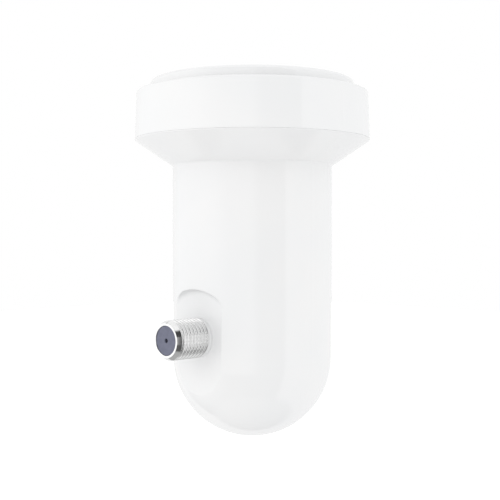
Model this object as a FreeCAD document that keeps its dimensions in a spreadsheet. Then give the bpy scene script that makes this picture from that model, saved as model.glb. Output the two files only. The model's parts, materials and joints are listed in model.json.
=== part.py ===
"""Low-noise block converter (LNB): the feed unit that a satellite dish carries at its focus.

Frame: millimetres, +Z up through the feed cap, origin on the axis at the middle of the 40 mm
neck that the dish's clamp holds. The cable port points along -Y.
"""
import FreeCAD, Part
import math
import operator
import os
from types import SimpleNamespace

import Sketcher
from FreeCAD import Placement, Rotation, Vector

DOC = FreeCAD.newDocument("feed_unit")

# name, size in mm (or a plain count or ratio), what it is
SIZES = [
    # outer housing
    ("neck_radius", 20.0, "tube where the dish's clamp grips"),
    ("neck_length", 29.0, "straight length of the clamped neck"),
    ("wall", 2.0, "housing wall"),
    ("dome_radius", 19.9, "round end, and the tube's foot below its draft"),
    ("dome_drop", 32.6, "dome centre below the origin"),
    ("cone_foot", 15.2, "height where the flare leaves the neck"),
    ("cone_slope", 0.67, "rise of the flare for each mm of radius"),
    ("cone_fillet", 0.35, "fillet between neck and flare"),
    ("rim_radius", 27.6, "housing rim, outside"),
    ("rim_wall", 1.8, "housing rim thickness"),
    ("rim_top", 30.0, "height of the housing rim"),
    ("inner_cone_rise", 1.2, "inner flare above the outer one"),
    ("snap_height", 25.0, "height of the cap's snap bead"),
    ("snap_half", 0.7, "half the height of the snap bead"),
    ("snap_depth", 0.35, "how far the snap bead stands in"),
    ("snap_gap", 0.1, "clearance around the snap bead"),
    # feed cap
    ("band_radius", 29.4, "cap band at its lower edge"),
    ("band_top_radius", 29.0, "cap band at its upper edge"),
    ("band_top", 33.6, "height of the cap band's upper face"),
    ("disc_radius", 25.5, "raised disc on the cap"),
    ("disc_top", 36.4, "height of the raised disc"),
    ("cap_wall", 1.6, "cap wall"),
    ("skirt_gap", 0.04, "clearance between cap skirt and rim"),
    ("disc_round", 0.9, "rounding of the disc's edge"),
    ("step_round", 0.4, "fillet at the foot of the disc"),
    ("band_round", 0.6, "rounding of the band's upper edge"),
    ("lip_height", 0.3, "lip on the housing that the cap's skirt sits on"),
    ("lip_round", 0.15, "rounding of the lip's lower edge"),
    # cable port
    ("port_drop", 26.6, "port axis below the origin"),
    ("flat_depth", 18.3, "flat round the port, from the tube's axis"),
    ("flat_arch", 14.0, "radius of the arch over the flat"),
    ("flat_top", 15.1, "top of the arch below the origin"),
    ("flat_reach", 12.0, "half width of the cutter that makes the flat"),
    ("flat_round", 1.2, "fillet under the arch"),
    ("inner_flat", 16.4, "flat inside the wall, from the tube's axis"),
    ("inner_flat_top", 13.0, "top of the inner flat below the origin"),
    ("port_hole", 4.3, "hole in the housing for the connector's shank"),
    ("collar_radius", 4.7, "collar round that hole, flush with the thread"),
    ("collar_end", 19.3, "face of the collar, from the tube's axis"),
    ("collar_round", 0.15, "rounding of the collar's edge"),
    ("seal_recess", 6.5, "recess round the hole, radius"),
    ("seal_floor", 17.3, "floor of the recess, from the tube's axis"),
    ("seal_radius", 0.7, "radius of an O-ring's section"),
    ("seal_ring", 5.65, "port O-ring, radius of its centre line"),
    # connector
    ("thread_radius", 4.7625, "3/8 inch thread over its crests"),
    ("thread_pitch", 1.05, "spacing of the thread's crests"),
    ("thread_turns", 7, "number of thread grooves"),
    ("thread_depth", 0.5, "depth of a thread groove"),
    ("thread_half", 0.45, "half the width of a thread groove"),
    ("thread_start", 27.0, "outermost groove, from the tube's axis"),
    ("lead_start", 27.75, "start of the chamfered lead, from the tube's axis"),
    ("port_face", 28.7, "connector's face, from the tube's axis"),
    ("face_radius", 4.1, "connector's face, outside"),
    ("shell_bore", 3.48, "bore of the connector shell"),
    ("shank_radius", 4.25, "shank inside the housing"),
    ("shank_end", 19.35, "where the thread starts, from the tube's axis"),
    ("shell_back", 12.8, "inner end of the connector shell"),
    ("insulator_radius", 3.42, "both insulators"),
    ("insulator_front", 28.55, "front insulator's face"),
    ("insulator_back", 22.0, "front insulator's back"),
    ("insulator_nose", 1.25, "thickness in front of the spring contact"),
    ("contact_hole", 0.5, "hole for the cable's centre wire"),
    ("contact_lead", 0.1, "countersink of that hole"),
    ("spring_radius", 1.2, "spring contact, outside"),
    ("spring_bore", 0.33, "spring contact, bore"),
    ("spring_front", 27.2, "front of the spring contact"),
    ("spring_back", 20.5, "back of the spring contact"),
    ("spring_slot", 0.3, "width of the slot that makes it springy"),
    ("spring_floor", 22.5, "bottom of the spring contact's bore"),
    ("pin_radius", 0.5, "all wires and tails"),
    ("pin_gap", 0.03, "clearance round a wire"),
    ("tail_end", 9.6, "end of the contact's tail"),
    ("rear_front", 15.5, "front of the rear insulator"),
    ("rear_back", 12.9, "back of the rear insulator"),
    # horn casting
    ("guide_radius", 8.7375, "circular waveguide, inside"),
    ("guide_outer", 10.25, "circular waveguide, outside"),
    ("guide_floor", 17.0, "floor of the waveguide below the origin"),
    ("guide_end", 18.5, "end of the waveguide wall below the origin"),
    ("throat", 18.0, "height where the horn opens"),
    ("throat_outer", 16.5, "height where the horn's outside opens"),
    ("mouth_radius", 13.0, "horn mouth, inside"),
    ("ring_wall", 1.3, "thickness of each choke ring"),
    ("ring_pitch", 4.6, "spacing of the choke rings"),
    ("ring_top", 33.8, "height of the choke rings"),
    ("ring_floor", 25.0, "floor between the choke rings"),
    ("web_low", 22.6, "underside of the horn's web"),
    ("web_inner", 12.5, "horn's outside at the web"),
    ("web_radius", 25.4, "horn web, outside"),
    ("flange_radius", 27.2, "flange that lies on the housing rim"),
    ("flange_top", 31.2, "top of the flange"),
    ("cap_seal_ring", 25.8, "cap O-ring, radius of its centre line"),
    ("seal_groove_half", 0.8, "half the width of the cap O-ring's groove"),
    ("seal_groove_floor", 30.6, "floor of that groove"),
    # tray of the casting, the board and the cover
    ("tray_half", 13.0, "half width of tray and cover"),
    ("tray_front", 10.4, "face that the board lies on, from the axis"),
    ("tray_back", 4.0, "back of the tray, from the axis"),
    ("tray_top", 13.5, "top of the tray"),
    ("tray_low", 35.5, "bottom of the tray below the origin"),
    ("tray_floor", 2.0, "floor left by the pocket in the tray's back"),
    ("pocket_half", 8.4, "half width of that pocket"),
    ("pocket_top", 20.5, "top of that pocket below the origin"),
    ("pocket_low", 34.0, "bottom of that pocket below the origin"),
    ("lug_inner", 9.0, "inner side of the lug for the bent probe"),
    ("lug_outer", 13.4, "outer side of that lug"),
    ("lug_back", 2.2, "back of that lug, behind the axis"),
    ("lug_half", 2.2, "half the height of that lug"),
    ("board_thick", 0.8, "circuit board"),
    ("board_gap", 0.3, "board edge inside the tray's edge"),
    ("cover_radius", 17.3, "cover's curved outside"),
    ("cover_flat", 15.9, "cover's flat face, from the axis"),
    ("cover_roof", 14.5, "ceiling inside the cover, from the axis"),
    ("cell_half", 7.6, "half width of the cover's screened cells"),
    ("supply_cell_low", 34.1, "bottom of the supply cell below the origin"),
    ("supply_cell_high", 17.0, "top of the supply cell below the origin"),
    ("signal_cell_low", 15.8, "bottom of the signal cell below the origin"),
    ("signal_cell_high", 0.6, "top of the signal cell above the origin"),
    ("mixer_cell_low", 1.8, "bottom of the mixer cell above the origin"),
    ("mixer_cell_high", 12.1, "top of the mixer cell above the origin"),
    ("boss_radius", 6.0, "boss that holds the connector"),
    ("boss_end", 12.6, "inner end of that boss, from the axis"),
    ("boss_bore", 4.28, "bore of that boss"),
    ("relief_depth", 0.9, "pocket over the bent probe's solder joint"),
    ("relief_outer", 11.8, "outer end of that pocket"),
    ("relief_half", 1.4, "half the height of that pocket"),
    # screws
    ("screw_across", 10.2, "screws from the centre line"),
    ("screw_low", 32.0, "lowest screws below the origin"),
    ("screw_pitch", 21.5, "spacing of the screws up the tray"),
    ("screw_radius", 0.98, "M2 screw"),
    ("screw_hole", 1.1, "clearance hole for the screw"),
    ("screw_tap", 1.0, "hole for the screw's thread"),
    ("screw_end", 6.0, "end of the screw, from the axis"),
    ("tap_end", 5.5, "end of the screw's hole, from the axis"),
    ("seat_depth", 12.2, "seat of the screw's head, from the axis"),
    ("seat_radius", 2.0, "seat of the screw's head"),
    ("head_radius", 1.7, "screw head"),
    ("head_height", 0.9, "screw head"),
    ("drive_radius", 0.85, "six-sided drive, over its corners"),
    ("drive_depth", 0.5, "six-sided drive"),
    # probes
    ("straight_drop", 12.0, "straight probe below the origin"),
    ("straight_tip", 4.0, "tip of the straight probe, from the axis"),
    ("bent_drop", 3.0, "bent probe below the origin"),
    ("bent_across", 10.9, "bent probe's leg from the centre line"),
    ("bent_tip", 3.6, "tip of the bent probe, from the axis"),
    ("bent_round", 1.5, "bend of the bent probe"),
    ("solder_end", 11.9, "ends of the probes in front of the board"),
    ("bush_radius", 1.3, "bent probe's bushes"),
    ("bush_back", 2.4, "inner end of the long bush, from the axis"),
    ("short_bush_in", 8.85, "inner end of the short bush"),
    ("short_bush_out", 9.35, "outer end of the short bush"),
    ("bead_radius", 1.6, "straight probe's bead"),
    ("bead_back", 8.8, "inner end of the bead, from the axis"),
    ("fit_gap", 0.02, "clearance round bushes and beads"),
    ("rod_drop", 7.5, "isolation rod below the origin"),
    ("rod_radius", 0.6, "isolation rod"),
    ("rod_half", 10.15, "half the length of the isolation rod"),
    ("rod_gap", 0.01, "clearance round the isolation rod"),
    # foam absorber
    ("foam_half", 6.4, "half width of the absorber"),
    ("foam_top", 0.2, "top of the absorber below the origin"),
    ("foam_low", 15.0, "bottom of the absorber below the origin"),
    ("foam_thick", 1.0, "absorber"),
    # board components
    ("lead_thick", 0.15, "thickness of the components' leads"),
    ("edge_part", 0.12, "chamfer of a component's top edges, as a part of its thickness"),
]

# label: (width, length up the board, thickness, width over its leads or 0, reach of its leads,
# places on the board as (across, up) from the origin)
COMPONENTS = {
    "low_noise_transistors": (1.3, 1.8, 0.7, 0.5, 0.5, [(0, -8.4), (5.2, -3.0), (0, -3.6)]),
    "converter_chip": (4.0, 4.0, 0.9, 3.2, 0.15, [(0.6, 5.2)]),
    "reference_crystal": (3.2, 2.5, 0.8, 0, 0, [(4.9, 10.0)]),
    "voltage_regulator": (4.5, 2.5, 1.5, 3.6, 0.8, [(-4.2, 10.0)]),
    "supply_inductor": (3.2, 2.5, 1.8, 0, 0, [(-5.4, -19.2)]),
    "tantalum_capacitor": (3.5, 2.8, 1.9, 0, 0, [(5.2, -19.4)]),
    "surge_diode": (2.6, 1.6, 1.0, 1.2, 0.5, [(0, -18.6)]),
    "ceramic_capacitors": (
        1.6, 0.8, 0.8, 0, 0,
        [(-4.6, -8.4), (-4.6, -5.0), (4.4, -8.4), (-5.6, 3.6), (-5.6, 6.2), (5.6, 5.0)],
    ),
    "chip_resistors": (
        1.6, 0.8, 0.45, 0, 0,
        [(-4.6, -11.8), (4.4, -11.8), (5.6, 3.2), (5.6, 6.8), (0.6, 9.6)],
    ),
}
COMPONENT_SIZES = ("wide", "long", "thick", "lead_wide", "lead_reach")


def component_rows():
    """The spreadsheet's rows for every board component: its sizes, then the place of each one."""
    rows = []
    for label, (*sizes, places) in COMPONENTS.items():
        kind = label.replace("_", " ")
        rows += [(f"{label}_{n}", v, f"{kind}, {n}") for n, v in zip(COMPONENT_SIZES, sizes)]
        for number, (across, up) in enumerate(places):
            rows.append((f"{label}_across_{number}", across, f"{kind}, place across the board"))
            rows.append((f"{label}_up_{number}", up, f"{kind}, place up the board"))
    return rows


ROWS = SIZES + component_rows()


def make_sheet():
    """Fill the spreadsheet that drives the model."""
    sheet = DOC.addObject("Spreadsheet::Sheet", "Sizes")
    for row, (alias, value, meaning) in enumerate(ROWS, start=1):
        sheet.set(f"A{row}", meaning)
        sheet.set(f"B{row}", str(value))
        sheet.setAlias(f"B{row}", alias)
    DOC.recompute()
    return sheet


SIGNS = {"+": operator.add, "-": operator.sub, "*": operator.mul, "/": operator.truediv}


class Size:
    """A number together with the spreadsheet expression that it comes from."""

    def __init__(self, value, text):
        self.value = float(value)
        self.text = text

    def __add__(self, other):
        return combine(self, "+", other)

    def __radd__(self, other):
        return combine(other, "+", self)

    def __sub__(self, other):
        return combine(self, "-", other)

    def __rsub__(self, other):
        return combine(other, "-", self)

    def __mul__(self, other):
        return combine(self, "*", other)

    def __rmul__(self, other):
        return combine(other, "*", self)

    def __truediv__(self, other):
        return combine(self, "/", other)

    def __neg__(self):
        return combine(0, "-", self)


def sized(thing):
    """A plain number as a Size."""
    return thing if isinstance(thing, Size) else Size(thing, repr(thing))


def combine(left, sign, right):
    left, right = sized(left), sized(right)
    return Size(SIGNS[sign](left.value, right.value), f"({left.text} {sign} {right.text})")


def root(square):
    return Size(math.sqrt(square.value), f"sqrt({square.text})")


SHEET = make_sheet()
DIM = SimpleNamespace(**{a: Size(SHEET.get(a), f"{SHEET.Name}.{a}") for a, _, _ in ROWS})

FULL_TURN = 360
START, END, CENTRE = 1, 2, 3  # the points of a sketch's edge
ORIGIN, H_AXIS, V_AXIS = -1, -1, -2  # a sketch's own origin and axes
OUT_OF_PORT = Rotation(Vector(1, 0, 0), 90)  # turns a part's own +Z to the port's -Y


# ---------------------------------------------------------------- sketches and features


def seated(thing, across=0, along=0, up=0, turn=None):
    """Put a part where the spreadsheet says: its own origin at these distances along X, Y and Z."""
    place = [sized(size) for size in (across, along, up)]
    thing.Placement = Placement(Vector(*(size.value for size in place)), turn or Rotation())
    for axis, size in zip("xyz", place):
        thing.setExpression(f"Placement.Base.{axis}", size.text)
    return thing


def new_body(label):
    body = DOC.addObject("PartDesign::Body", label)
    body.Label = label
    return body


def port_body(label, drop):
    """A body that is turned round its own Z axis, with that axis along -Y and below the origin."""
    return seated(new_body(label), up=-drop, turn=OUT_OF_PORT)


def plane(body, role):
    return next(f for f in body.Origin.OriginFeatures if f.Role == role)


def new_sketch(body, name, role="XZ_Plane", offset=0):
    """A sketch on one of the body's own planes, moved along that plane's normal."""
    sketch = body.newObject("Sketcher::SketchObject", f"{body.Name}_{name}")
    sketch.AttachmentSupport = [(plane(body, role), "")]
    sketch.MapMode = "FlatFace"
    sketch.setExpression("AttachmentOffset.Base.z", sized(offset).text)
    DOC.recompute()
    return sketch


def fix(sketch, kind, *geometry, size):
    """Add a constraint whose value comes from the spreadsheet."""
    index = sketch.addConstraint(Sketcher.Constraint(kind, *geometry, size.value))
    sketch.setExpression(f"Constraints[{index}]", size.text)


def fix_point(sketch, edge, point, across, up):
    """Tie a point to the sketch's origin."""
    for size, kind, axis in ((sized(across), "DistanceX", V_AXIS), (sized(up), "DistanceY", H_AXIS)):
        if abs(size.value) < 1e-9:
            sketch.addConstraint(Sketcher.Constraint("PointOnObject", edge, point, axis))
        else:
            fix(sketch, kind, ORIGIN, START, edge, point, size=size)


def arc_between(start, end, radius):
    """The short arc from start to end, on the left of the straight way if radius is positive."""
    middle = (start + end) * 0.5
    half = (end - start).Length / 2
    left = Vector(0, 0, 1).cross(end - start).normalize()
    side = 1 if radius > 0 else -1
    rise = math.sqrt(radius * radius - half * half)
    crown = middle + left * side * (abs(radius) - rise)
    return Part.Arc(start, crown, end)


def draw_outline(sketch, corners):
    """A closed outline. A corner is (across, up), or (across, up, radius) if an arc leaves it."""
    count = len(corners)
    points = [Vector(sized(c[0]).value, sized(c[1]).value, 0) for c in corners]
    first = sketch.GeometryCount
    backwards = []
    for i, corner in enumerate(corners):
        start, end = points[i], points[(i + 1) % count]
        if len(corner) == 2:
            sketch.addGeometry(Part.LineSegment(start, end), False)
            backwards.append(False)
        else:
            index = sketch.addGeometry(arc_between(start, end, sized(corner[2]).value), False)
            backwards.append((sketch.getPoint(index, START) - start).Length > 1e-6)
    for i in range(count):
        after = (i + 1) % count
        leave = START if backwards[i] else END
        arrive = END if backwards[after] else START
        sketch.addConstraint(
            Sketcher.Constraint("Coincident", first + i, leave, first + after, arrive)
        )
    for i, corner in enumerate(corners):
        fix_point(sketch, first + i, END if backwards[i] else START, corner[0], corner[1])
        if len(corner) == 3:
            size = sized(corner[2])
            fix(sketch, "Radius", first + i, size=size if size.value > 0 else -size)


def draw_box(sketch, left, right, low, high):
    draw_outline(sketch, [(left, low), (right, low), (right, high), (left, high)])


def draw_circle(sketch, across, up, radius):
    centre = Vector(sized(across).value, sized(up).value, 0)
    index = sketch.addGeometry(Part.Circle(centre, Vector(0, 0, 1), radius.value), False)
    fix_point(sketch, index, CENTRE, across, up)
    fix(sketch, "Radius", index, size=radius)


def add_feature(body, kind, name, sketch, length=None, reverse=False):
    feature = body.newObject(f"PartDesign::{kind}", f"{body.Name}_{name}")
    feature.Profile = sketch
    feature.Reversed = reverse
    if length is None:
        feature.ReferenceAxis = (sketch, ["V_Axis"])
        feature.Angle = FULL_TURN
    else:
        feature.setExpression("Length", sized(length).text)
    DOC.recompute()
    return feature


def turned(body, name, corners):
    """Turn an outline of (radius, height) corners round the body's own Z axis."""
    sketch = new_sketch(body, f"{name}_outline")
    draw_outline(sketch, corners)
    return add_feature(body, "Revolution", name, sketch)


def checked_cut(body, feature, before):
    """A cut that points the wrong way removes nothing and raises nothing, so the volume is compared."""
    if not feature.Shape.Volume < before - 1e-6:
        raise RuntimeError(f"{feature.Name} cuts nothing")
    return feature


def turned_cut(body, name, corners):
    before = body.Tip.Shape.Volume
    sketch = new_sketch(body, f"{name}_outline")
    draw_outline(sketch, corners)
    return checked_cut(body, add_feature(body, "Groove", name, sketch), before)


def padded(body, name, draw, start, end, role="XZ_Plane"):
    """Raise what draw(sketch) draws, between two distances along the plane's normal."""
    sketch = new_sketch(body, f"{name}_outline", role, start)
    draw(sketch)
    return add_feature(body, "Pad", name, sketch, sized(end) - sized(start))


def pocketed(body, name, draw, start, end, role="XZ_Plane"):
    """Cut what draw(sketch) draws, between two distances along the plane's normal."""
    before = body.Tip.Shape.Volume
    sketch = new_sketch(body, f"{name}_outline", role, start)
    draw(sketch)
    pocket = add_feature(body, "Pocket", name, sketch, sized(end) - sized(start), reverse=True)
    return checked_cut(body, pocket, before)


def ring_edge(radius, height, tolerance=0.01):
    """A test for the circular edge of this radius at this height."""

    def test(edge):
        if edge.Degenerated or not isinstance(edge.Curve, Part.Circle):
            return False
        centre = edge.Curve.Center
        return (
            abs(edge.Curve.Radius - sized(radius).value) < tolerance
            and abs(centre.z - sized(height).value) < tolerance
            and math.hypot(centre.x, centre.y) < tolerance
        )

    return test


def edge_in_front(distance, tolerance=0.01):
    """A test for an edge in the plane this far in front of the origin, towards -Y."""
    return lambda edge: (
        abs(edge.BoundBox.YMin + distance.value) < tolerance
        and abs(edge.BoundBox.YMax + distance.value) < tolerance
    )


def dress_edges(body, kind, name, test, setting, size):
    """Fillet or chamfer the edges of the body's last feature that pass the test."""
    base = body.Tip
    names = [f"Edge{i}" for i, e in enumerate(base.Shape.Edges, start=1) if test(e)]
    if not names:
        raise RuntimeError(f"{body.Name}: no edge for {name}")
    feature = body.newObject(f"PartDesign::{kind}", f"{body.Name}_{name}")
    feature.Base = (base, names)
    feature.setExpression(setting, sized(size).text)
    DOC.recompute()
    return feature


def rounded(body, name, test, radius):
    return dress_edges(body, "Fillet", name, test, "Radius", radius)


def chamfered(body, name, test, size):
    return dress_edges(body, "Chamfer", name, test, "Size", size)


def screw_places():
    """(across, up) of the six cover screws."""
    return [
        (side * DIM.screw_across, row * DIM.screw_pitch - DIM.screw_low)
        for side in (-1, 1)
        for row in range(3)
    ]


def circles_at(places, radius):
    def draw(sketch):
        for across, up in places:
            draw_circle(sketch, across, up, radius)

    return draw


def box_of(left, right, low, high):
    return lambda sketch: draw_box(sketch, left, right, low, high)


def flare(radius):
    """Height of the housing's outer flare at a radius."""
    return DIM.cone_foot + DIM.cone_slope * (radius - DIM.neck_radius)


# ---------------------------------------------------------------- housing and cap

NECK_HALF = DIM.neck_length / 2
SKIRT_RADIUS = DIM.rim_radius + DIM.skirt_gap
LIP_TOP = flare(DIM.band_radius) + DIM.lip_height
RIM_BORE = DIM.rim_radius - DIM.rim_wall
INNER_RADIUS = DIM.neck_radius - DIM.wall
INNER_DOME = DIM.dome_radius - DIM.wall
INNER_FLARE_TOP = (
    DIM.cone_foot + DIM.inner_cone_rise + DIM.cone_slope * (RIM_BORE - INNER_RADIUS)
)


def bead_corners(radius, depth, half):
    """Three corners, from low to high, of the snap bead or of its groove."""
    return [
        (radius, DIM.snap_height - half),
        (radius - depth, DIM.snap_height),
        (radius, DIM.snap_height + half),
    ]


def make_feed_cap():
    """Radome cap: a raised disc on a drafted band whose skirt snaps over the housing rim."""
    body = new_body("feed_cap")
    shoulder = DIM.band_top - DIM.cap_wall
    disc_bore = DIM.disc_radius - DIM.cap_wall
    outline = [
        (0, DIM.disc_top),
        (0, DIM.disc_top - DIM.cap_wall),
        (disc_bore, DIM.disc_top - DIM.cap_wall),
        (disc_bore, shoulder),
        (SKIRT_RADIUS, shoulder),
        *reversed(bead_corners(SKIRT_RADIUS, DIM.snap_depth, DIM.snap_half)),
        (SKIRT_RADIUS, LIP_TOP),
        (DIM.band_radius, LIP_TOP),
        (DIM.band_top_radius, DIM.band_top),
        (DIM.disc_radius, DIM.band_top),
        (DIM.disc_radius, DIM.disc_top),
    ]
    turned(body, "shell", outline)
    rounded(body, "disc_edge", ring_edge(DIM.disc_radius, DIM.disc_top), DIM.disc_round)
    rounded(body, "disc_foot", ring_edge(DIM.disc_radius, DIM.band_top), DIM.step_round)
    rounded(body, "band_edge", ring_edge(DIM.band_top_radius, DIM.band_top), DIM.band_round)
    return body


def make_housing_block():
    """Outside of the housing, solid: dome, drafted tube, neck, flare and rim, with the port's flat."""
    body = new_body("housing_block")
    outline = [
        (0, -DIM.dome_drop - DIM.dome_radius, -DIM.dome_radius),
        (DIM.dome_radius, -DIM.dome_drop),
        (DIM.neck_radius, -NECK_HALF),
        (DIM.neck_radius, DIM.cone_foot),
        (DIM.band_radius, flare(DIM.band_radius)),
        (DIM.band_radius, LIP_TOP),
        (DIM.rim_radius, LIP_TOP),
        *bead_corners(DIM.rim_radius, DIM.snap_depth, DIM.snap_half + DIM.snap_gap),
        (DIM.rim_radius, DIM.rim_top),
        (0, DIM.rim_top),
    ]
    turned(body, "outside", outline)
    rounded(body, "flare_foot", ring_edge(DIM.neck_radius, DIM.cone_foot), DIM.cone_fillet)
    rounded(body, "lip_edge", ring_edge(DIM.band_radius, flare(DIM.band_radius)), DIM.lip_round)
    arch_end = root(DIM.flat_arch * DIM.flat_arch - DIM.flat_reach * DIM.flat_reach)
    arch_centre = -DIM.flat_top - DIM.flat_arch
    below = -DIM.dome_drop - 2 * DIM.dome_radius

    def draw_flat(sketch):
        draw_outline(
            sketch,
            [
                (-DIM.flat_reach, arch_centre + arch_end, DIM.flat_arch),
                (DIM.flat_reach, arch_centre + arch_end),
                (DIM.flat_reach, below),
                (-DIM.flat_reach, below),
            ],
        )

    pocketed(body, "flat", draw_flat, DIM.flat_depth, 2 * DIM.neck_radius)
    arch_height = (arch_centre + DIM.flat_arch).value
    in_flat = edge_in_front(DIM.flat_depth)

    def under_arch(edge):
        return in_flat(edge) and abs(edge.BoundBox.ZMax - arch_height) < 0.01

    rounded(body, "arch_foot", under_arch, DIM.flat_round)
    port = [(0, -DIM.port_drop)]
    padded(body, "collar", circles_at(port, DIM.collar_radius), DIM.seal_floor, DIM.collar_end)
    rounded(body, "collar_edge", edge_in_front(DIM.collar_end), DIM.collar_round)
    pocketed(body, "hole", circles_at(port, DIM.port_hole), INNER_RADIUS / 2, DIM.neck_radius)
    pocketed(body, "recess", circles_at(port, DIM.seal_recess), INNER_RADIUS / 2, DIM.seal_floor)
    return body


def make_housing_core():
    """The space inside the housing, which is flat behind the port."""
    body = new_body("housing_core")
    outline = [
        (0, -DIM.dome_drop - INNER_DOME, -INNER_DOME),
        (INNER_DOME, -DIM.dome_drop),
        (INNER_RADIUS, -NECK_HALF),
        (INNER_RADIUS, DIM.cone_foot + DIM.inner_cone_rise),
        (RIM_BORE, INNER_FLARE_TOP),
        (RIM_BORE, DIM.rim_top + DIM.wall),
        (0, DIM.rim_top + DIM.wall),
    ]
    turned(body, "space", outline)
    trim = box_of(-DIM.neck_radius, DIM.neck_radius, -3 * DIM.neck_radius, -DIM.inner_flat_top)
    pocketed(body, "inner_flat", trim, DIM.inner_flat, 2 * DIM.neck_radius)
    return body


def make_housing_shell():
    shell = DOC.addObject("Part::Cut", "housing_shell")
    shell.Label = "housing_shell"
    shell.Base = make_housing_block()
    shell.Tool = make_housing_core()
    DOC.recompute()
    return shell


def make_ring_seal(label, ring, **place):
    """An O-ring, already pressed to its working height."""
    seal = DOC.addObject("Part::Torus", label)
    seal.Label = label
    seal.setExpression("Radius1", ring.text)
    seal.setExpression("Radius2", DIM.seal_radius.text)
    return seated(seal, **place)


# ---------------------------------------------------------------- horn casting, board, cover


def make_horn_casting():
    """Die-cast body: choke-ring horn, waveguide, and the flat tray that carries the board."""
    body = new_body("horn_casting")
    seal_in = DIM.cap_seal_ring - DIM.seal_groove_half
    seal_out = DIM.cap_seal_ring + DIM.seal_groove_half
    chokes = []
    for ring in (2, 1, 0):
        inner = DIM.mouth_radius + ring * DIM.ring_pitch
        outer = inner + DIM.ring_wall
        low = DIM.flange_top if ring == 2 else DIM.ring_floor
        chokes += [(outer, low), (outer, DIM.ring_top), (inner, DIM.ring_top)]
        chokes += [(inner, DIM.ring_floor)] if ring else []
    outline = [
        (0, -DIM.guide_end),
        (DIM.guide_outer, -DIM.guide_end),
        (DIM.guide_outer, DIM.throat_outer),
        (DIM.web_inner, DIM.web_low),
        (DIM.web_radius, DIM.web_low),
        (DIM.web_radius, DIM.rim_top),
        (DIM.flange_radius, DIM.rim_top),
        (DIM.flange_radius, DIM.flange_top),
        (seal_out, DIM.flange_top),
        (seal_out, DIM.seal_groove_floor),
        (seal_in, DIM.seal_groove_floor),
        (seal_in, DIM.flange_top),
        *chokes,
        (0, DIM.ring_top),
    ]
    turned(body, "horn", outline)
    tray = box_of(-DIM.tray_half, DIM.tray_half, -DIM.tray_low, DIM.tray_top)
    padded(body, "tray", tray, DIM.tray_back, DIM.tray_front)
    lug_low = -DIM.bent_drop - DIM.lug_half
    lug = box_of(DIM.lug_inner, DIM.lug_outer, lug_low, lug_low + 2 * DIM.lug_half)
    padded(body, "lug", lug, -DIM.lug_back, DIM.tray_front)
    bore = [
        (0, -DIM.guide_floor),
        (DIM.guide_radius, -DIM.guide_floor),
        (DIM.guide_radius, DIM.throat),
        (DIM.mouth_radius, DIM.ring_top),
        (0, DIM.ring_top),
    ]
    turned_cut(body, "guide", bore)
    pocket = box_of(-DIM.pocket_half, DIM.pocket_half, -DIM.pocket_low, -DIM.pocket_top)
    pocketed(body, "back_pocket", pocket, DIM.tray_back / 2, DIM.tray_front - DIM.tray_floor)
    taps = circles_at(screw_places(), DIM.screw_tap)
    pocketed(body, "taps", taps, DIM.tap_end, DIM.tray_front + DIM.wall)
    bead = circles_at([(0, -DIM.straight_drop)], DIM.bead_radius + DIM.fit_gap)
    pocketed(body, "bead_hole", bead, DIM.guide_radius / 2, DIM.tray_front + DIM.wall)
    leg = circles_at([(DIM.bent_across, -DIM.bent_drop)], DIM.bush_radius + DIM.fit_gap)
    pocketed(body, "leg_hole", leg, -DIM.bush_radius, DIM.tray_front + DIM.wall)
    cross = circles_at([(0, -DIM.bent_drop)], DIM.bush_radius + DIM.fit_gap)
    pocketed(body, "cross_hole", cross, DIM.guide_radius / 2, 2 * DIM.lug_outer, "YZ_Plane")
    rod = circles_at([(0, -DIM.rod_drop)], DIM.rod_radius + DIM.rod_gap)
    pocketed(body, "rod_hole", rod, -DIM.lug_outer, DIM.lug_outer, "YZ_Plane")
    tail = circles_at([(0, -DIM.port_drop)], 2 * DIM.pin_radius)
    pocketed(body, "tail_hole", tail, DIM.tail_end - DIM.pin_radius, DIM.tray_front + DIM.wall)
    return body


def make_board():
    """Microwave circuit board, clamped between the tray and the cover."""
    body = new_body("circuit_board")
    half = DIM.tray_half - DIM.board_gap
    sheet = box_of(-half, half, DIM.board_gap - DIM.tray_low, DIM.tray_top - DIM.board_gap)
    front = DIM.tray_front + DIM.board_thick
    padded(body, "sheet", sheet, DIM.tray_front, front)
    wire_hole = DIM.pin_radius + 2 * DIM.pin_gap
    wires = [(0, -DIM.straight_drop), (DIM.bent_across, -DIM.bent_drop), (0, -DIM.port_drop)]
    pocketed(body, "wire_holes", circles_at(wires, wire_hole), DIM.tray_front, front)
    screws = circles_at(screw_places(), DIM.screw_hole)
    pocketed(body, "screw_holes", screws, DIM.tray_front, front)
    return body


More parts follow.
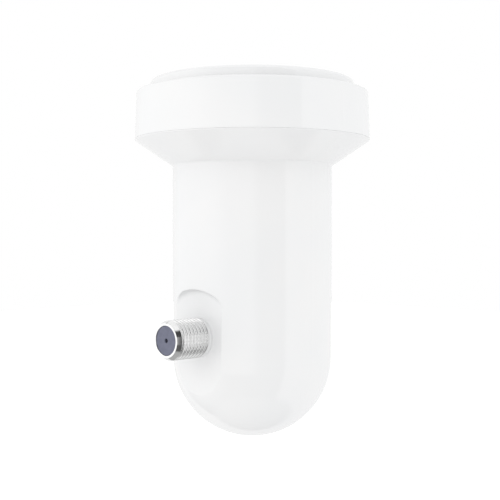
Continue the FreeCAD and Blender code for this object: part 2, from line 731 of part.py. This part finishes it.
def make_cover():
    """Die-cast cover with three screened cells and the boss that holds the connector."""
    body = new_body("cover_casting")
    front = DIM.tray_front + DIM.board_thick
    radius = DIM.cover_radius
    side = root(radius * radius - DIM.tray_half * DIM.tray_half)
    flat_half = root(radius * radius - DIM.cover_flat * DIM.cover_flat)

    def draw_section(sketch):
        draw_outline(
            sketch,
            [
                (-DIM.tray_half, -front),
                (-DIM.tray_half, -side, -radius),
                (-flat_half, -DIM.cover_flat),
                (flat_half, -DIM.cover_flat, -radius),
                (DIM.tray_half, -side),
                (DIM.tray_half, -front),
            ],
        )

    padded(body, "block", draw_section, -DIM.tray_low, DIM.tray_top, "XY_Plane")

    def draw_cells(sketch):
        for low, high in (
            (-DIM.supply_cell_low, -DIM.supply_cell_high),
            (-DIM.signal_cell_low, DIM.signal_cell_high),
            (DIM.mixer_cell_low, DIM.mixer_cell_high),
        ):
            draw_box(sketch, -DIM.cell_half, DIM.cell_half, low, high)

    pocketed(body, "cells", draw_cells, front, DIM.cover_roof)
    port = [(0, -DIM.port_drop)]
    padded(body, "boss", circles_at(port, DIM.boss_radius), DIM.boss_end, DIM.cover_flat)
    pocketed(body, "bore", circles_at(port, DIM.boss_bore), front, radius)
    relief_low = -DIM.bent_drop - DIM.relief_half
    relief_high = -DIM.bent_drop + DIM.relief_half
    relief = box_of(DIM.cell_half / 2, DIM.relief_outer, relief_low, relief_high)
    pocketed(body, "relief", relief, front, front + DIM.relief_depth)
    pocketed(body, "seats", circles_at(screw_places(), DIM.seat_radius), DIM.seat_depth, radius)
    pocketed(body, "holes", circles_at(screw_places(), DIM.screw_hole), front, radius)
    return body


def make_screws():
    """Six pan-head screws that hold cover and board to the tray."""
    body = new_body("cover_screws")
    body.AllowCompound = True
    places = screw_places()
    top = DIM.seat_depth + DIM.head_height
    padded(body, "heads", circles_at(places, DIM.head_radius), DIM.seat_depth, top)
    padded(body, "shanks", circles_at(places, DIM.screw_radius), DIM.screw_end, DIM.seat_depth)

    def draw_drives(sketch):
        across = DIM.drive_radius * math.sqrt(0.75)
        for x, up in places:
            corners = [(-1, -0.5), (0, -1), (1, -0.5), (1, 0.5), (0, 1), (-1, 0.5)]
            draw_outline(sketch, [(x + a * across, up + b * DIM.drive_radius) for a, b in corners])

    pocketed(body, "drives", draw_drives, top - DIM.drive_depth, top + DIM.drive_depth)
    return body


# ---------------------------------------------------------------- probes


def make_straight_probe():
    """Pin that picks up one polarisation from the waveguide."""
    body = port_body("straight_probe", DIM.straight_drop)
    outline = [
        (0, DIM.straight_tip),
        (DIM.pin_radius, DIM.straight_tip),
        (DIM.pin_radius, DIM.solder_end),
        (0, DIM.solder_end),
    ]
    turned(body, "pin", outline)
    rounded(body, "tip", ring_edge(DIM.pin_radius, DIM.straight_tip), DIM.pin_radius / 3)
    return body


def make_tube(body, name, bore, radius, low, high):
    outline = [(bore, low), (radius, low), (radius, high), (bore, high)]
    return turned(body, name, outline)


def make_straight_bead():
    body = port_body("straight_probe_bead", DIM.straight_drop)
    bore = DIM.pin_radius + DIM.pin_gap
    make_tube(body, "bead", bore, DIM.bead_radius, DIM.bead_back, DIM.tray_front)
    return body


def make_bent_probe():
    """Wire that runs back beside the waveguide and turns in, for the other polarisation."""
    body = new_body("bent_probe")
    path = new_sketch(body, "path", "XY_Plane", -DIM.bent_drop)
    across, bend = DIM.bent_across, DIM.bent_round
    leg_start = Vector(across.value, -DIM.solder_end.value, 0)
    leg_end = Vector(across.value, -bend.value, 0)
    arm_start = Vector(across.value - bend.value, 0, 0)
    arm_end = Vector(DIM.bent_tip.value, 0, 0)
    path.addGeometry(Part.LineSegment(leg_start, leg_end), False)
    path.addGeometry(arc_between(leg_end, arm_start, -bend.value), False)
    path.addGeometry(Part.LineSegment(arm_start, arm_end), False)
    near_leg = START if (path.getPoint(1, START) - leg_end).Length < 1e-6 else END
    near_arm = END if near_leg == START else START
    path.addConstraint(Sketcher.Constraint("Coincident", 0, END, 1, near_leg))
    path.addConstraint(Sketcher.Constraint("Coincident", 1, near_arm, 2, START))
    fix_point(path, 0, START, across, -DIM.solder_end)
    fix_point(path, 0, END, across, -bend)
    fix_point(path, 2, START, across - bend, 0)
    fix_point(path, 2, END, DIM.bent_tip, 0)
    fix(path, "Radius", 1, size=bend)
    section = new_sketch(body, "section", "XZ_Plane", DIM.solder_end)
    draw_circle(section, across, -DIM.bent_drop, DIM.pin_radius)
    wire = body.newObject("PartDesign::AdditivePipe", "bent_probe_wire")
    wire.Profile = section
    wire.Spine = path
    DOC.recompute()
    return body


def make_bent_bushes():
    """Insulating bushes: a long one round the wire's leg, a short one in the waveguide's wall."""
    body = new_body("bent_probe_bushes")
    body.AllowCompound = True
    inner = DIM.pin_radius + DIM.pin_gap

    def draw_ring(across, up):
        def draw(sketch):
            draw_circle(sketch, across, up, DIM.bush_radius)
            draw_circle(sketch, across, up, inner)

        return draw

    leg = draw_ring(DIM.bent_across, -DIM.bent_drop)
    padded(body, "leg_bush", leg, DIM.bush_back, DIM.tray_front)
    arm = draw_ring(0, -DIM.bent_drop)
    padded(body, "wall_bush", arm, DIM.short_bush_in, DIM.short_bush_out, "YZ_Plane")
    return body


def make_isolation_rod():
    """Rod across the waveguide that mirrors one polarisation back to the bent probe."""
    rod = DOC.addObject("Part::Cylinder", "isolation_rod")
    rod.Label = "isolation_rod"
    rod.setExpression("Radius", DIM.rod_radius.text)
    rod.setExpression("Height", (2 * DIM.rod_half).text)
    return seated(rod, across=-DIM.rod_half, up=-DIM.rod_drop, turn=Rotation(Vector(0, 1, 0), 90))


# ---------------------------------------------------------------- connector


def make_connector_shell():
    """Threaded F-type shell. Its thread is drawn as equally spaced ring grooves."""
    body = port_body("connector_shell", DIM.port_drop)
    outline = [
        (DIM.shell_bore, DIM.shell_back),
        (DIM.shank_radius, DIM.shell_back),
        (DIM.shank_radius, DIM.shank_end),
        (DIM.thread_radius, DIM.shank_end),
        (DIM.thread_radius, DIM.lead_start),
        (DIM.face_radius, DIM.port_face),
        (DIM.shell_bore, DIM.port_face),
    ]
    turned(body, "barrel", outline)
    groove = [
        (DIM.thread_radius - DIM.thread_depth, DIM.thread_start),
        (DIM.thread_radius + DIM.thread_depth, DIM.thread_start - 2 * DIM.thread_half),
        (DIM.thread_radius + DIM.thread_depth, DIM.thread_start + 2 * DIM.thread_half),
    ]
    cut = turned_cut(body, "groove", groove)
    before = body.Tip.Shape.Volume
    pattern = body.newObject("PartDesign::LinearPattern", "connector_shell_thread")
    pattern.Originals = [cut]
    pattern.Direction = (cut.Profile[0], ["V_Axis"])
    pattern.Reversed = True
    reach = DIM.thread_pitch * (DIM.thread_turns - 1)
    pattern.setExpression("Length", reach.text)
    pattern.setExpression("Occurrences", DIM.thread_turns.text)
    body.Tip = pattern
    DOC.recompute()
    checked_cut(body, pattern, before)
    return body


def make_front_insulator():
    """Insulator that shows in the connector's face, round the hole for the cable's wire."""
    body = port_body("front_insulator", DIM.port_drop)
    nose = DIM.insulator_front - DIM.insulator_nose
    inner = DIM.spring_radius + DIM.contact_lead
    outline = [
        (inner, DIM.insulator_back),
        (DIM.insulator_radius, DIM.insulator_back),
        (DIM.insulator_radius, DIM.insulator_front),
        (DIM.contact_hole + DIM.contact_lead, DIM.insulator_front),
        (DIM.contact_hole, DIM.insulator_front - DIM.contact_lead),
        (DIM.contact_hole, nose),
        (inner, nose),
    ]
    turned(body, "disc", outline)
    return body


def make_rear_insulator():
    body = port_body("rear_insulator", DIM.port_drop)
    bore = DIM.pin_radius + DIM.pin_gap
    make_tube(body, "disc", bore, DIM.insulator_radius, DIM.rear_back, DIM.rear_front)
    return body


def make_centre_contact():
    """Slotted spring contact for the cable's wire, with a tail that is soldered to the board."""
    body = port_body("centre_contact", DIM.port_drop)
    outline = [
        (0, DIM.tail_end),
        (DIM.pin_radius, DIM.tail_end),
        (DIM.pin_radius, DIM.spring_back),
        (DIM.spring_radius, DIM.spring_back),
        (DIM.spring_radius, DIM.spring_front),
        (DIM.spring_bore, DIM.spring_front),
        (DIM.spring_bore, DIM.spring_floor),
        (0, DIM.spring_floor),
    ]
    turned(body, "contact", outline)
    slot_half = DIM.spring_slot / 2
    slot = box_of(-slot_half, slot_half, DIM.spring_floor, DIM.port_face)
    pocketed(body, "slot", slot, -DIM.spring_radius - slot_half, DIM.spring_radius + slot_half)
    return body


# ---------------------------------------------------------------- board components

def draw_blocks(places, width, length):
    """Equal boxes centred at these (across, up) places on the board."""

    def draw(sketch):
        for across, up in places:
            left, low = across - width / 2, up - length / 2
            draw_box(sketch, left, left + width, low, low + length)

    return draw


def make_component(label):
    """One kind of board component: all of them, with their leads if they have any."""
    body = new_body(label)
    body.AllowCompound = True
    wide, long, thick, lead_wide, lead_reach = (
        getattr(DIM, f"{label}_{name}") for name in COMPONENT_SIZES
    )
    places = [
        (getattr(DIM, f"{label}_across_{number}"), getattr(DIM, f"{label}_up_{number}"))
        for number in range(len(COMPONENTS[label][-1]))
    ]
    front = DIM.tray_front + DIM.board_thick
    top = front + thick
    padded(body, "blocks", draw_blocks(places, wide, long), front, top)
    chamfered(body, "top_edges", lambda edge: edge.BoundBox.YMax < 0.001 - top.value, thick * DIM.edge_part)
    if lead_wide.value:
        leads = draw_blocks(places, lead_wide, long + 2 * lead_reach)
        padded(body, "leads", leads, front, front + DIM.lead_thick)
    return body


def make_absorber():
    """Foam sheet stuck to the ceiling of the cover's middle cell."""
    foam = DOC.addObject("Part::Box", "absorber_sheet")
    foam.Label = "absorber_sheet"
    foam.setExpression("Length", (2 * DIM.foam_half).text)
    foam.setExpression("Width", DIM.foam_thick.text)
    foam.setExpression("Height", (DIM.foam_low - DIM.foam_top).text)
    return seated(foam, across=-DIM.foam_half, along=-DIM.cover_roof, up=-DIM.foam_low)


# ---------------------------------------------------------------- the whole unit


def make_all():
    cap_seal_up = DIM.seal_groove_floor + DIM.seal_radius
    port_seal_along = -DIM.cover_flat - DIM.seal_radius
    parts = [
        make_feed_cap(),
        make_ring_seal("cap_seal", DIM.cap_seal_ring, up=cap_seal_up),
        make_housing_shell(),
        make_horn_casting(),
        make_straight_probe(),
        make_straight_bead(),
        make_bent_probe(),
        make_bent_bushes(),
        make_isolation_rod(),
        make_board(),
        make_cover(),
        make_absorber(),
        make_screws(),
        make_ring_seal(
            "port_seal", DIM.seal_ring, along=port_seal_along, up=-DIM.port_drop, turn=OUT_OF_PORT
        ),
        make_connector_shell(),
        make_front_insulator(),
        make_rear_insulator(),
        make_centre_contact(),
    ]
    return parts + [make_component(label) for label in COMPONENTS]


def check_and_write(parts):
    """Stop on any failed feature or bad shape, then write one STEP file for each part."""
    DOC.recompute()
    failed = [o.Name for o in DOC.Objects if {"Invalid", "Error"} & set(o.State)]
    if failed:
        raise RuntimeError(f"failed features: {failed}")
    for part in parts:
        if part.Shape.isNull() or not part.Shape.isValid() or not part.Shape.Solids:
            raise RuntimeError(f"bad shape: {part.Label}")
    os.makedirs("parts", exist_ok=True)
    for part in parts:
        part.Shape.exportStep(f"parts/{part.Label}.step")
        print(f"{part.Label}: {len(part.Shape.Solids)} solid(s), {part.Shape.Volume:.1f} mm3")


check_and_write(make_all())
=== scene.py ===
"""Looks of the satellite dish feed unit: materials, the port's real thread, light and camera."""
import json
import math

import bpy
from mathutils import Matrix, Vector


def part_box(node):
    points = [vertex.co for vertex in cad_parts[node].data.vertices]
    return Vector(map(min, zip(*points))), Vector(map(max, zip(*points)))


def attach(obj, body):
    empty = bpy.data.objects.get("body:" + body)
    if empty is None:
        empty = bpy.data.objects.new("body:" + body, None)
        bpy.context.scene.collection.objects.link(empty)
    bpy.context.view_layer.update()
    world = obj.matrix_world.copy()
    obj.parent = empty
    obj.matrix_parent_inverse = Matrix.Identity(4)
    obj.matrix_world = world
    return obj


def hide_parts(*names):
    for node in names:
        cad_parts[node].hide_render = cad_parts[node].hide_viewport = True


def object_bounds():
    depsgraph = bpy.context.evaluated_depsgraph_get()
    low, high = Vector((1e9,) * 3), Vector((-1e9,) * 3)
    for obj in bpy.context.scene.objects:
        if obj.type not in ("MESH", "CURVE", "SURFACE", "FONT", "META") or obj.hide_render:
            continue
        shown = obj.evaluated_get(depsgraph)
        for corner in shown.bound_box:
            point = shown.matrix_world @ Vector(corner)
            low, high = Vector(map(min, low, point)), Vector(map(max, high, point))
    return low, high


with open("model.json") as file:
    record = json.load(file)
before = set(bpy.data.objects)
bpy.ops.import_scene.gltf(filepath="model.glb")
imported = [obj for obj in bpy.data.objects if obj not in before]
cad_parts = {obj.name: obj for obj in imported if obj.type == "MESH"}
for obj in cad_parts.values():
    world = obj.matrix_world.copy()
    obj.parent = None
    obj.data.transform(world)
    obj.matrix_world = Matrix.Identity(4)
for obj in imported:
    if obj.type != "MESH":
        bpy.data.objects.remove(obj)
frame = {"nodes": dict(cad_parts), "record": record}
CAD_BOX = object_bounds()
NODES = frame["nodes"]
MM = 0.001

# The port, from the frame: it points along -Y, so its own axis runs through the shell's box.
PORT_LOW, PORT_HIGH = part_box("connector_shell")
PORT_FACE = -PORT_LOW.y
PORT_BACK = -PORT_HIGH.y
PORT_HEIGHT = (PORT_LOW.z + PORT_HIGH.z) / 2
THREAD_RADIUS = (PORT_HIGH.x - PORT_LOW.x) / 2


# ---------------------------------------------------------------- materials


def new_material(name, colour, roughness, metallic=0.0):
    """A Principled material, and its node tree, shader and a link helper."""
    material = bpy.data.materials.new(name)
    material.use_nodes = True
    tree = material.node_tree
    shader = tree.nodes["Principled BSDF"]
    shader.inputs["Base Color"].default_value = (*colour, 1)
    shader.inputs["Roughness"].default_value = roughness
    shader.inputs["Metallic"].default_value = metallic
    return material, tree, shader


def object_noise(tree, scale, detail=3.0, stretch=(1, 1, 1)):
    """Noise in the object's own metres; scale is in bumps per metre."""
    coordinates = tree.nodes.new("ShaderNodeTexCoord")
    mapping = tree.nodes.new("ShaderNodeMapping")
    mapping.inputs["Scale"].default_value = stretch
    noise = tree.nodes.new("ShaderNodeTexNoise")
    noise.inputs["Scale"].default_value = scale
    noise.inputs["Detail"].default_value = detail
    tree.links.new(coordinates.outputs["Object"], mapping.inputs["Vector"])
    tree.links.new(mapping.outputs["Vector"], noise.inputs["Vector"])
    return noise.outputs["Fac"]


def vary_colour(tree, shader, source, low, high):
    """Base colour between two tones, driven by a texture."""
    ramp = tree.nodes.new("ShaderNodeValToRGB")
    ramp.color_ramp.elements[0].position = 0.35
    ramp.color_ramp.elements[0].color = (*low, 1)
    ramp.color_ramp.elements[1].position = 0.65
    ramp.color_ramp.elements[1].color = (*high, 1)
    tree.links.new(source, ramp.inputs["Fac"])
    tree.links.new(ramp.outputs["Color"], shader.inputs["Base Color"])


def vary_roughness(tree, shader, source, low, high):
    """Roughness between two values, driven by a texture."""
    span = tree.nodes.new("ShaderNodeMapRange")
    span.inputs["To Min"].default_value = low
    span.inputs["To Max"].default_value = high
    tree.links.new(source, span.inputs["Value"])
    tree.links.new(span.outputs["Result"], shader.inputs["Roughness"])


def add_bump(tree, shader, source, depth, edge_radius=0.0):
    """Relief of this depth, over edges softened to this radius as moulding leaves them."""
    bump = tree.nodes.new("ShaderNodeBump")
    bump.inputs["Distance"].default_value = depth
    tree.links.new(source, bump.inputs["Height"])
    if edge_radius:
        bevel = tree.nodes.new("ShaderNodeBevel")
        bevel.samples = 8
        bevel.inputs["Radius"].default_value = edge_radius
        tree.links.new(bevel.outputs["Normal"], bump.inputs["Normal"])
    tree.links.new(bump.outputs["Normal"], shader.inputs["Normal"])


def gloss_white(name, low, high, edge_radius):
    """Glossy moulded plastic: faint tone drift, a softly uneven gloss and a very shallow ripple."""
    material, tree, shader = new_material(name, high, 0.12)
    shader.inputs["IOR"].default_value = 1.5
    vary_colour(tree, shader, object_noise(tree, 45), low, high)
    vary_roughness(tree, shader, object_noise(tree, 160), 0.05, 0.09)
    add_bump(tree, shader, object_noise(tree, 700, 2), 0.001 * MM, edge_radius)
    return material


def cast_metal():
    """Die-cast alloy: grainy, satin, with faint flow marks."""
    material, tree, shader = new_material("cast_alloy_look", (0.62, 0.63, 0.64), 0.42, 1.0)
    vary_colour(tree, shader, object_noise(tree, 260), (0.55, 0.56, 0.57), (0.68, 0.69, 0.7))
    vary_roughness(tree, shader, object_noise(tree, 500), 0.34, 0.52)
    add_bump(tree, shader, object_noise(tree, 2500, 4), 0.02 * MM)
    return material


def plated_metal(name, low, high, rough_low, rough_high):
    """Bright plating, with the fine turned grain that runs round the piece."""
    material, tree, shader = new_material(name, high, rough_low, 1.0)
    vary_colour(tree, shader, object_noise(tree, 900), low, high)
    vary_roughness(tree, shader, object_noise(tree, 1400), rough_low, rough_high)
    grain = object_noise(tree, 9000, 2, (0.15, 1, 0.15))
    add_bump(tree, shader, grain, 0.002 * MM)
    return material


def satin(name, low, high, roughness, grain, depth):
    """Moulded, fired or foamed material with a fine grain of this many bumps per metre."""
    material, tree, shader = new_material(name, high, roughness)
    vary_colour(tree, shader, object_noise(tree, grain / 4), low, high)
    vary_roughness(tree, shader, object_noise(tree, grain / 2), roughness - 0.06, roughness + 0.06)
    add_bump(tree, shader, object_noise(tree, grain, 4), depth)
    return material


def dress_nodes():
    """One material for each of the record's material slots, put on that slot's CAD nodes."""
    looks = {
        "cap_plastic": gloss_white(
            "cap_white", (0.84, 0.845, 0.85), (0.86, 0.86, 0.86), 0.15 * MM
        ),
        "housing_plastic": gloss_white(
            "housing_white", (0.83, 0.835, 0.84), (0.85, 0.85, 0.85), 0.5 * MM
        ),
        "cast_alloy": cast_metal(),
        "nickel": plated_metal("nickel_look", (0.84, 0.84, 0.84), (0.9, 0.9, 0.9), 0.1, 0.16),
        "plated_wire": plated_metal("gold_look", (0.8, 0.6, 0.3), (0.9, 0.7, 0.38), 0.15, 0.25),
        "screw_steel": plated_metal("zinc_look", (0.55, 0.55, 0.53), (0.68, 0.68, 0.66), 0.22, 0.35),
        "crystal_can": plated_metal("can_look", (0.6, 0.6, 0.6), (0.72, 0.72, 0.72), 0.25, 0.38),
        "port_insulator": satin(
            "blue_grey", (0.12, 0.128, 0.185), (0.145, 0.153, 0.215), 0.42, 4000, 0.01 * MM
        ),
        "white_insulator": satin(
            "ptfe", (0.78, 0.78, 0.76), (0.86, 0.86, 0.84), 0.45, 3000, 0.01 * MM
        ),
        "seal_rubber": satin(
            "rubber_black", (0.015, 0.015, 0.016), (0.03, 0.03, 0.03), 0.55, 3500, 0.02 * MM
        ),
        "board": satin("solder_mask", (0.02, 0.11, 0.045), (0.03, 0.15, 0.06), 0.3, 1200, 0.01 * MM),
        "chip_black": satin("epoxy", (0.012, 0.012, 0.014), (0.025, 0.025, 0.027), 0.5, 6000, 0.01 * MM),
        "ceramic": satin("fired_ceramic", (0.3, 0.2, 0.12), (0.42, 0.3, 0.19), 0.5, 6000, 0.01 * MM),
        "tantalum": satin("orange_epoxy", (0.6, 0.32, 0.04), (0.7, 0.4, 0.06), 0.4, 5000, 0.01 * MM),
        "foam": satin("foam_look", (0.02, 0.02, 0.022), (0.05, 0.05, 0.055), 0.9, 5000, 0.12 * MM),
    }
    for entry in frame["record"]["subparts"]:
        mesh = NODES[entry["node"]].data
        mesh.materials.clear()
        mesh.materials.append(looks[entry["material_slot"]])
    return looks


LOOKS = dress_nodes()


# ---------------------------------------------------------------- the port's threaded shell

THREAD_PITCH = 1.05 * MM
THREAD_DEPTH = 0.42 * MM
THREAD_FADE = 0.5 * MM
LEAD_LENGTH = 0.95 * MM
FACE_RADIUS = 4.1 * MM
FACE_BEVEL = 0.06 * MM
BORE_RADIUS = 3.48 * MM
SHANK_RADIUS = 4.25 * MM
THREAD_BACK = 19.3 * MM
SIDES = 240
THREAD_CREST = 0.24
THREAD_ROOT = 0.76
ROWS_PER_PITCH = 36


def thread_radius(along, turn):
    """Radius of the rounded helical thread at a distance along the port and a turn from 0 to 1."""
    fade = min(1.0, max(0.0, (PORT_FACE - LEAD_LENGTH - along) / THREAD_FADE))
    swing = abs(2 * ((along / THREAD_PITCH + turn) % 1.0) - 1)
    flank = min(1.0, max(0.0, (swing - THREAD_CREST) / (THREAD_ROOT - THREAD_CREST)))
    return THREAD_RADIUS - THREAD_DEPTH * fade * flank * flank * (3 - 2 * flank)


def shell_rows():
    """(distance along the port, radius or None for the thread) of each ring of points."""
    lead_back = PORT_FACE - LEAD_LENGTH
    count = round((lead_back - THREAD_BACK) / THREAD_PITCH * ROWS_PER_PITCH)
    step = (lead_back - THREAD_BACK) / count
    rows = [(PORT_BACK, BORE_RADIUS), (PORT_BACK, SHANK_RADIUS), (THREAD_BACK, SHANK_RADIUS)]
    rows += [(THREAD_BACK + step * i, None) for i in range(count + 1)]
    rows += [
        (PORT_FACE - FACE_BEVEL, FACE_RADIUS),
        (PORT_FACE, FACE_RADIUS - FACE_BEVEL),
        (PORT_FACE, BORE_RADIUS + FACE_BEVEL),
        (PORT_FACE - FACE_BEVEL, BORE_RADIUS),
    ]
    return rows


def make_threaded_shell():
    """The F-type shell, turned and threaded: it replaces the node whose thread is plain rings."""
    rows = shell_rows()
    points = []
    for along, radius in rows:
        for side in range(SIDES):
            turn = side / SIDES
            reach = thread_radius(along, turn) if radius is None else radius
            angle = 2 * math.pi * turn
            points.append((reach * math.cos(angle), -along, PORT_HEIGHT + reach * math.sin(angle)))
    faces = []
    for row in range(len(rows)):
        here, there = row * SIDES, (row + 1) % len(rows) * SIDES
        for side in range(SIDES):
            after = (side + 1) % SIDES
            faces.append((here + side, here + after, there + after, there + side))
    mesh = bpy.data.meshes.new("threaded_shell")
    mesh.from_pydata(points, [], faces)
    mesh.shade_smooth()
    mesh.set_sharp_from_angle(angle=math.radians(20))
    mesh.materials.append(LOOKS["nickel"])
    piece = bpy.data.objects.new("threaded_shell", mesh)
    bpy.context.scene.collection.objects.link(piece)
    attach(piece, "root")
    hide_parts("connector_shell")


make_threaded_shell()


# ---------------------------------------------------------------- camera, light, floor

CAMERA_AZIMUTH = math.radians(44.5)
CAMERA_DISTANCE = 0.240
CAMERA_HEIGHT = -0.0025
CAMERA_PITCH = 0.014
CAMERA_SIDE = -0.00057
LENS = 68.4

WORLD_FILL = 0.99
SOFTBOX_DISTANCE = 0.9
SOFTBOX_TALL = 0.9
FLOOR_DROP = 0.5
FLOOR_HALF = 6.0
FLOOR_GLOW = 0.5

# how bright each part of the studio looks in a mirror; the white backdrop is 1
ROOM_LEFT = 0.75
ROOM_GAP = 0.14
ROOM_RIGHT = 0.95
ROOM_SIDE = 1.25
ROOM_UPPER = 0.05
ROOM_LOWER = 0.1
ROOM_CEILING = 1.0
ROOM_FLOOR = 0.45

TOWARDS_CAMERA = Vector((math.sin(CAMERA_AZIMUTH), -math.cos(CAMERA_AZIMUTH), 0))
CAMERA_RIGHT = Vector((math.cos(CAMERA_AZIMUTH), math.sin(CAMERA_AZIMUTH), 0))


def add_camera():
    data = bpy.data.cameras.new("camera")
    data.lens = LENS
    data.clip_start = 0.01
    camera = bpy.data.objects.new("camera", data)
    bpy.context.scene.collection.objects.link(camera)
    camera.location = TOWARDS_CAMERA * CAMERA_DISTANCE + CAMERA_RIGHT * CAMERA_SIDE
    camera.location.z = CAMERA_HEIGHT
    camera.rotation_euler = (math.pi / 2 - CAMERA_PITCH, 0, CAMERA_AZIMUTH)
    bpy.context.scene.camera = camera


def softbox(name, bearing, height, radiance, width):
    """A rectangular area light aimed at the object. bearing is in degrees, to the camera's right.

    radiance is the light's brightness, where the backdrop is 1. It lights surfaces but isn't
    itself seen or reflected: the world gives the reflections.
    """
    data = bpy.data.lights.new(name, "AREA")
    data.shape = "RECTANGLE"
    data.size = width
    data.size_y = SOFTBOX_TALL
    data.energy = radiance * math.pi * width * SOFTBOX_TALL
    light = bpy.data.objects.new(name, data)
    light.visible_camera = False
    light.visible_glossy = False
    bpy.context.scene.collection.objects.link(light)
    turn = math.radians(bearing)
    side = TOWARDS_CAMERA * math.cos(turn) + CAMERA_RIGHT * math.sin(turn)
    light.location = side * SOFTBOX_DISTANCE + Vector((0, 0, height))
    light.rotation_euler = (-light.location).to_track_quat("-Z", "Y").to_euler()


def zone(tree, direction, normal, edge, softness):
    """1 where a world direction leans further than edge along normal, 0 where it doesn't."""
    lean = tree.nodes.new("ShaderNodeVectorMath")
    lean.operation = "DOT_PRODUCT"
    lean.inputs[1].default_value = normal
    tree.links.new(direction, lean.inputs[0])
    step = tree.nodes.new("ShaderNodeMapRange")
    step.interpolation_type = "SMOOTHSTEP"
    step.inputs["From Min"].default_value = edge - softness
    step.inputs["From Max"].default_value = edge + softness
    tree.links.new(lean.outputs["Value"], step.inputs["Value"])
    return step.outputs["Result"]


def right_of(bearing):
    """The direction square to a bearing in degrees, on its right-hand side."""
    turn = math.radians(bearing)
    return CAMERA_RIGHT * math.cos(turn) - TOWARDS_CAMERA * math.sin(turn)


def blend_value(tree, factor, below, above):
    """A number that goes from below, a socket or a number, to above as factor goes from 0 to 1."""
    mix = tree.nodes.new("ShaderNodeMix")
    mix.inputs["B"].default_value = above
    if isinstance(below, (int, float)):
        mix.inputs["A"].default_value = below
    else:
        tree.links.new(below, mix.inputs["A"])
    tree.links.new(factor, mix.inputs["Factor"])
    return mix.outputs["Result"]


def studio_walls():
    """Each wall of the studio, painted over those before it, for what is reflected.

    A wall is where a direction leans further than an edge along a normal. Its border is blurred
    by a softness, and it has a brightness.
    """
    up = Vector((0, 0, 1))
    return (
        (right_of(4), 0, 0.12, ROOM_GAP),
        (up, 0.3, 0.05, ROOM_UPPER),
        (-up, 0.33, 0.05, ROOM_LOWER),
        (right_of(47.5), 0, 0.01, ROOM_RIGHT),
        (-CAMERA_RIGHT, 0.7, 0.25, ROOM_SIDE),
        (up, 0.74, 0.06, ROOM_CEILING),
        (-up, 0.8, 0.04, ROOM_FLOOR),
    )


def set_world():
    """The studio: white to the camera, even on the surfaces, and its walls in what they reflect."""
    world = bpy.data.worlds.new("studio")
    world.use_nodes = True
    tree = world.node_tree
    background = tree.nodes["Background"]
    background.inputs["Color"].default_value = (1, 1, 1, 1)
    direction = tree.nodes.new("ShaderNodeTexCoord").outputs["Generated"]
    walls = ROOM_LEFT
    for normal, edge, softness, brightness in studio_walls():
        inside = zone(tree, direction, normal, edge, softness)
        walls = blend_value(tree, inside, walls, brightness)
    rays = tree.nodes.new("ShaderNodeLightPath")
    unseen = tree.nodes.new("ShaderNodeMix")
    unseen.inputs["A"].default_value = WORLD_FILL
    tree.links.new(walls, unseen.inputs["B"])
    tree.links.new(rays.outputs["Is Glossy Ray"], unseen.inputs["Factor"])
    level = blend_value(tree, rays.outputs["Is Camera Ray"], unseen.outputs["Result"], 1.0)
    tree.links.new(level, background.inputs["Strength"])
    bpy.context.scene.world = world
    bpy.context.scene.view_settings.view_transform = "Standard"


def add_floor():
    """A pale floor well below the unit, which is held by its neck. Only the camera sees it."""
    half = FLOOR_HALF
    level = CAD_BOX[0][2] - FLOOR_DROP
    mesh = bpy.data.meshes.new("floor")
    corners = [(-half, -half, level), (half, -half, level), (half, half, level), (-half, half, level)]
    mesh.from_pydata(corners, [], [(0, 1, 2, 3)])
    floor = bpy.data.objects.new("floor", mesh)
    bpy.context.scene.collection.objects.link(floor)
    material, tree, shader = new_material("floor_white", (0.95, 0.95, 0.95), 0.8)
    vary_colour(tree, shader, object_noise(tree, 3), (0.94, 0.94, 0.94), (0.96, 0.96, 0.96))
    shader.inputs["Emission Color"].default_value = (1, 1, 1, 1)
    shader.inputs["Emission Strength"].default_value = FLOOR_GLOW
    mesh.materials.append(material)
    floor.visible_glossy = False
    floor.visible_diffuse = False
    floor.visible_shadow = False


add_camera()
set_world()
add_floor()
softbox("key", bearing=-55, height=0.06, radiance=0.51, width=0.8)
softbox("fill", bearing=75, height=0.1, radiance=0.4, width=0.7)
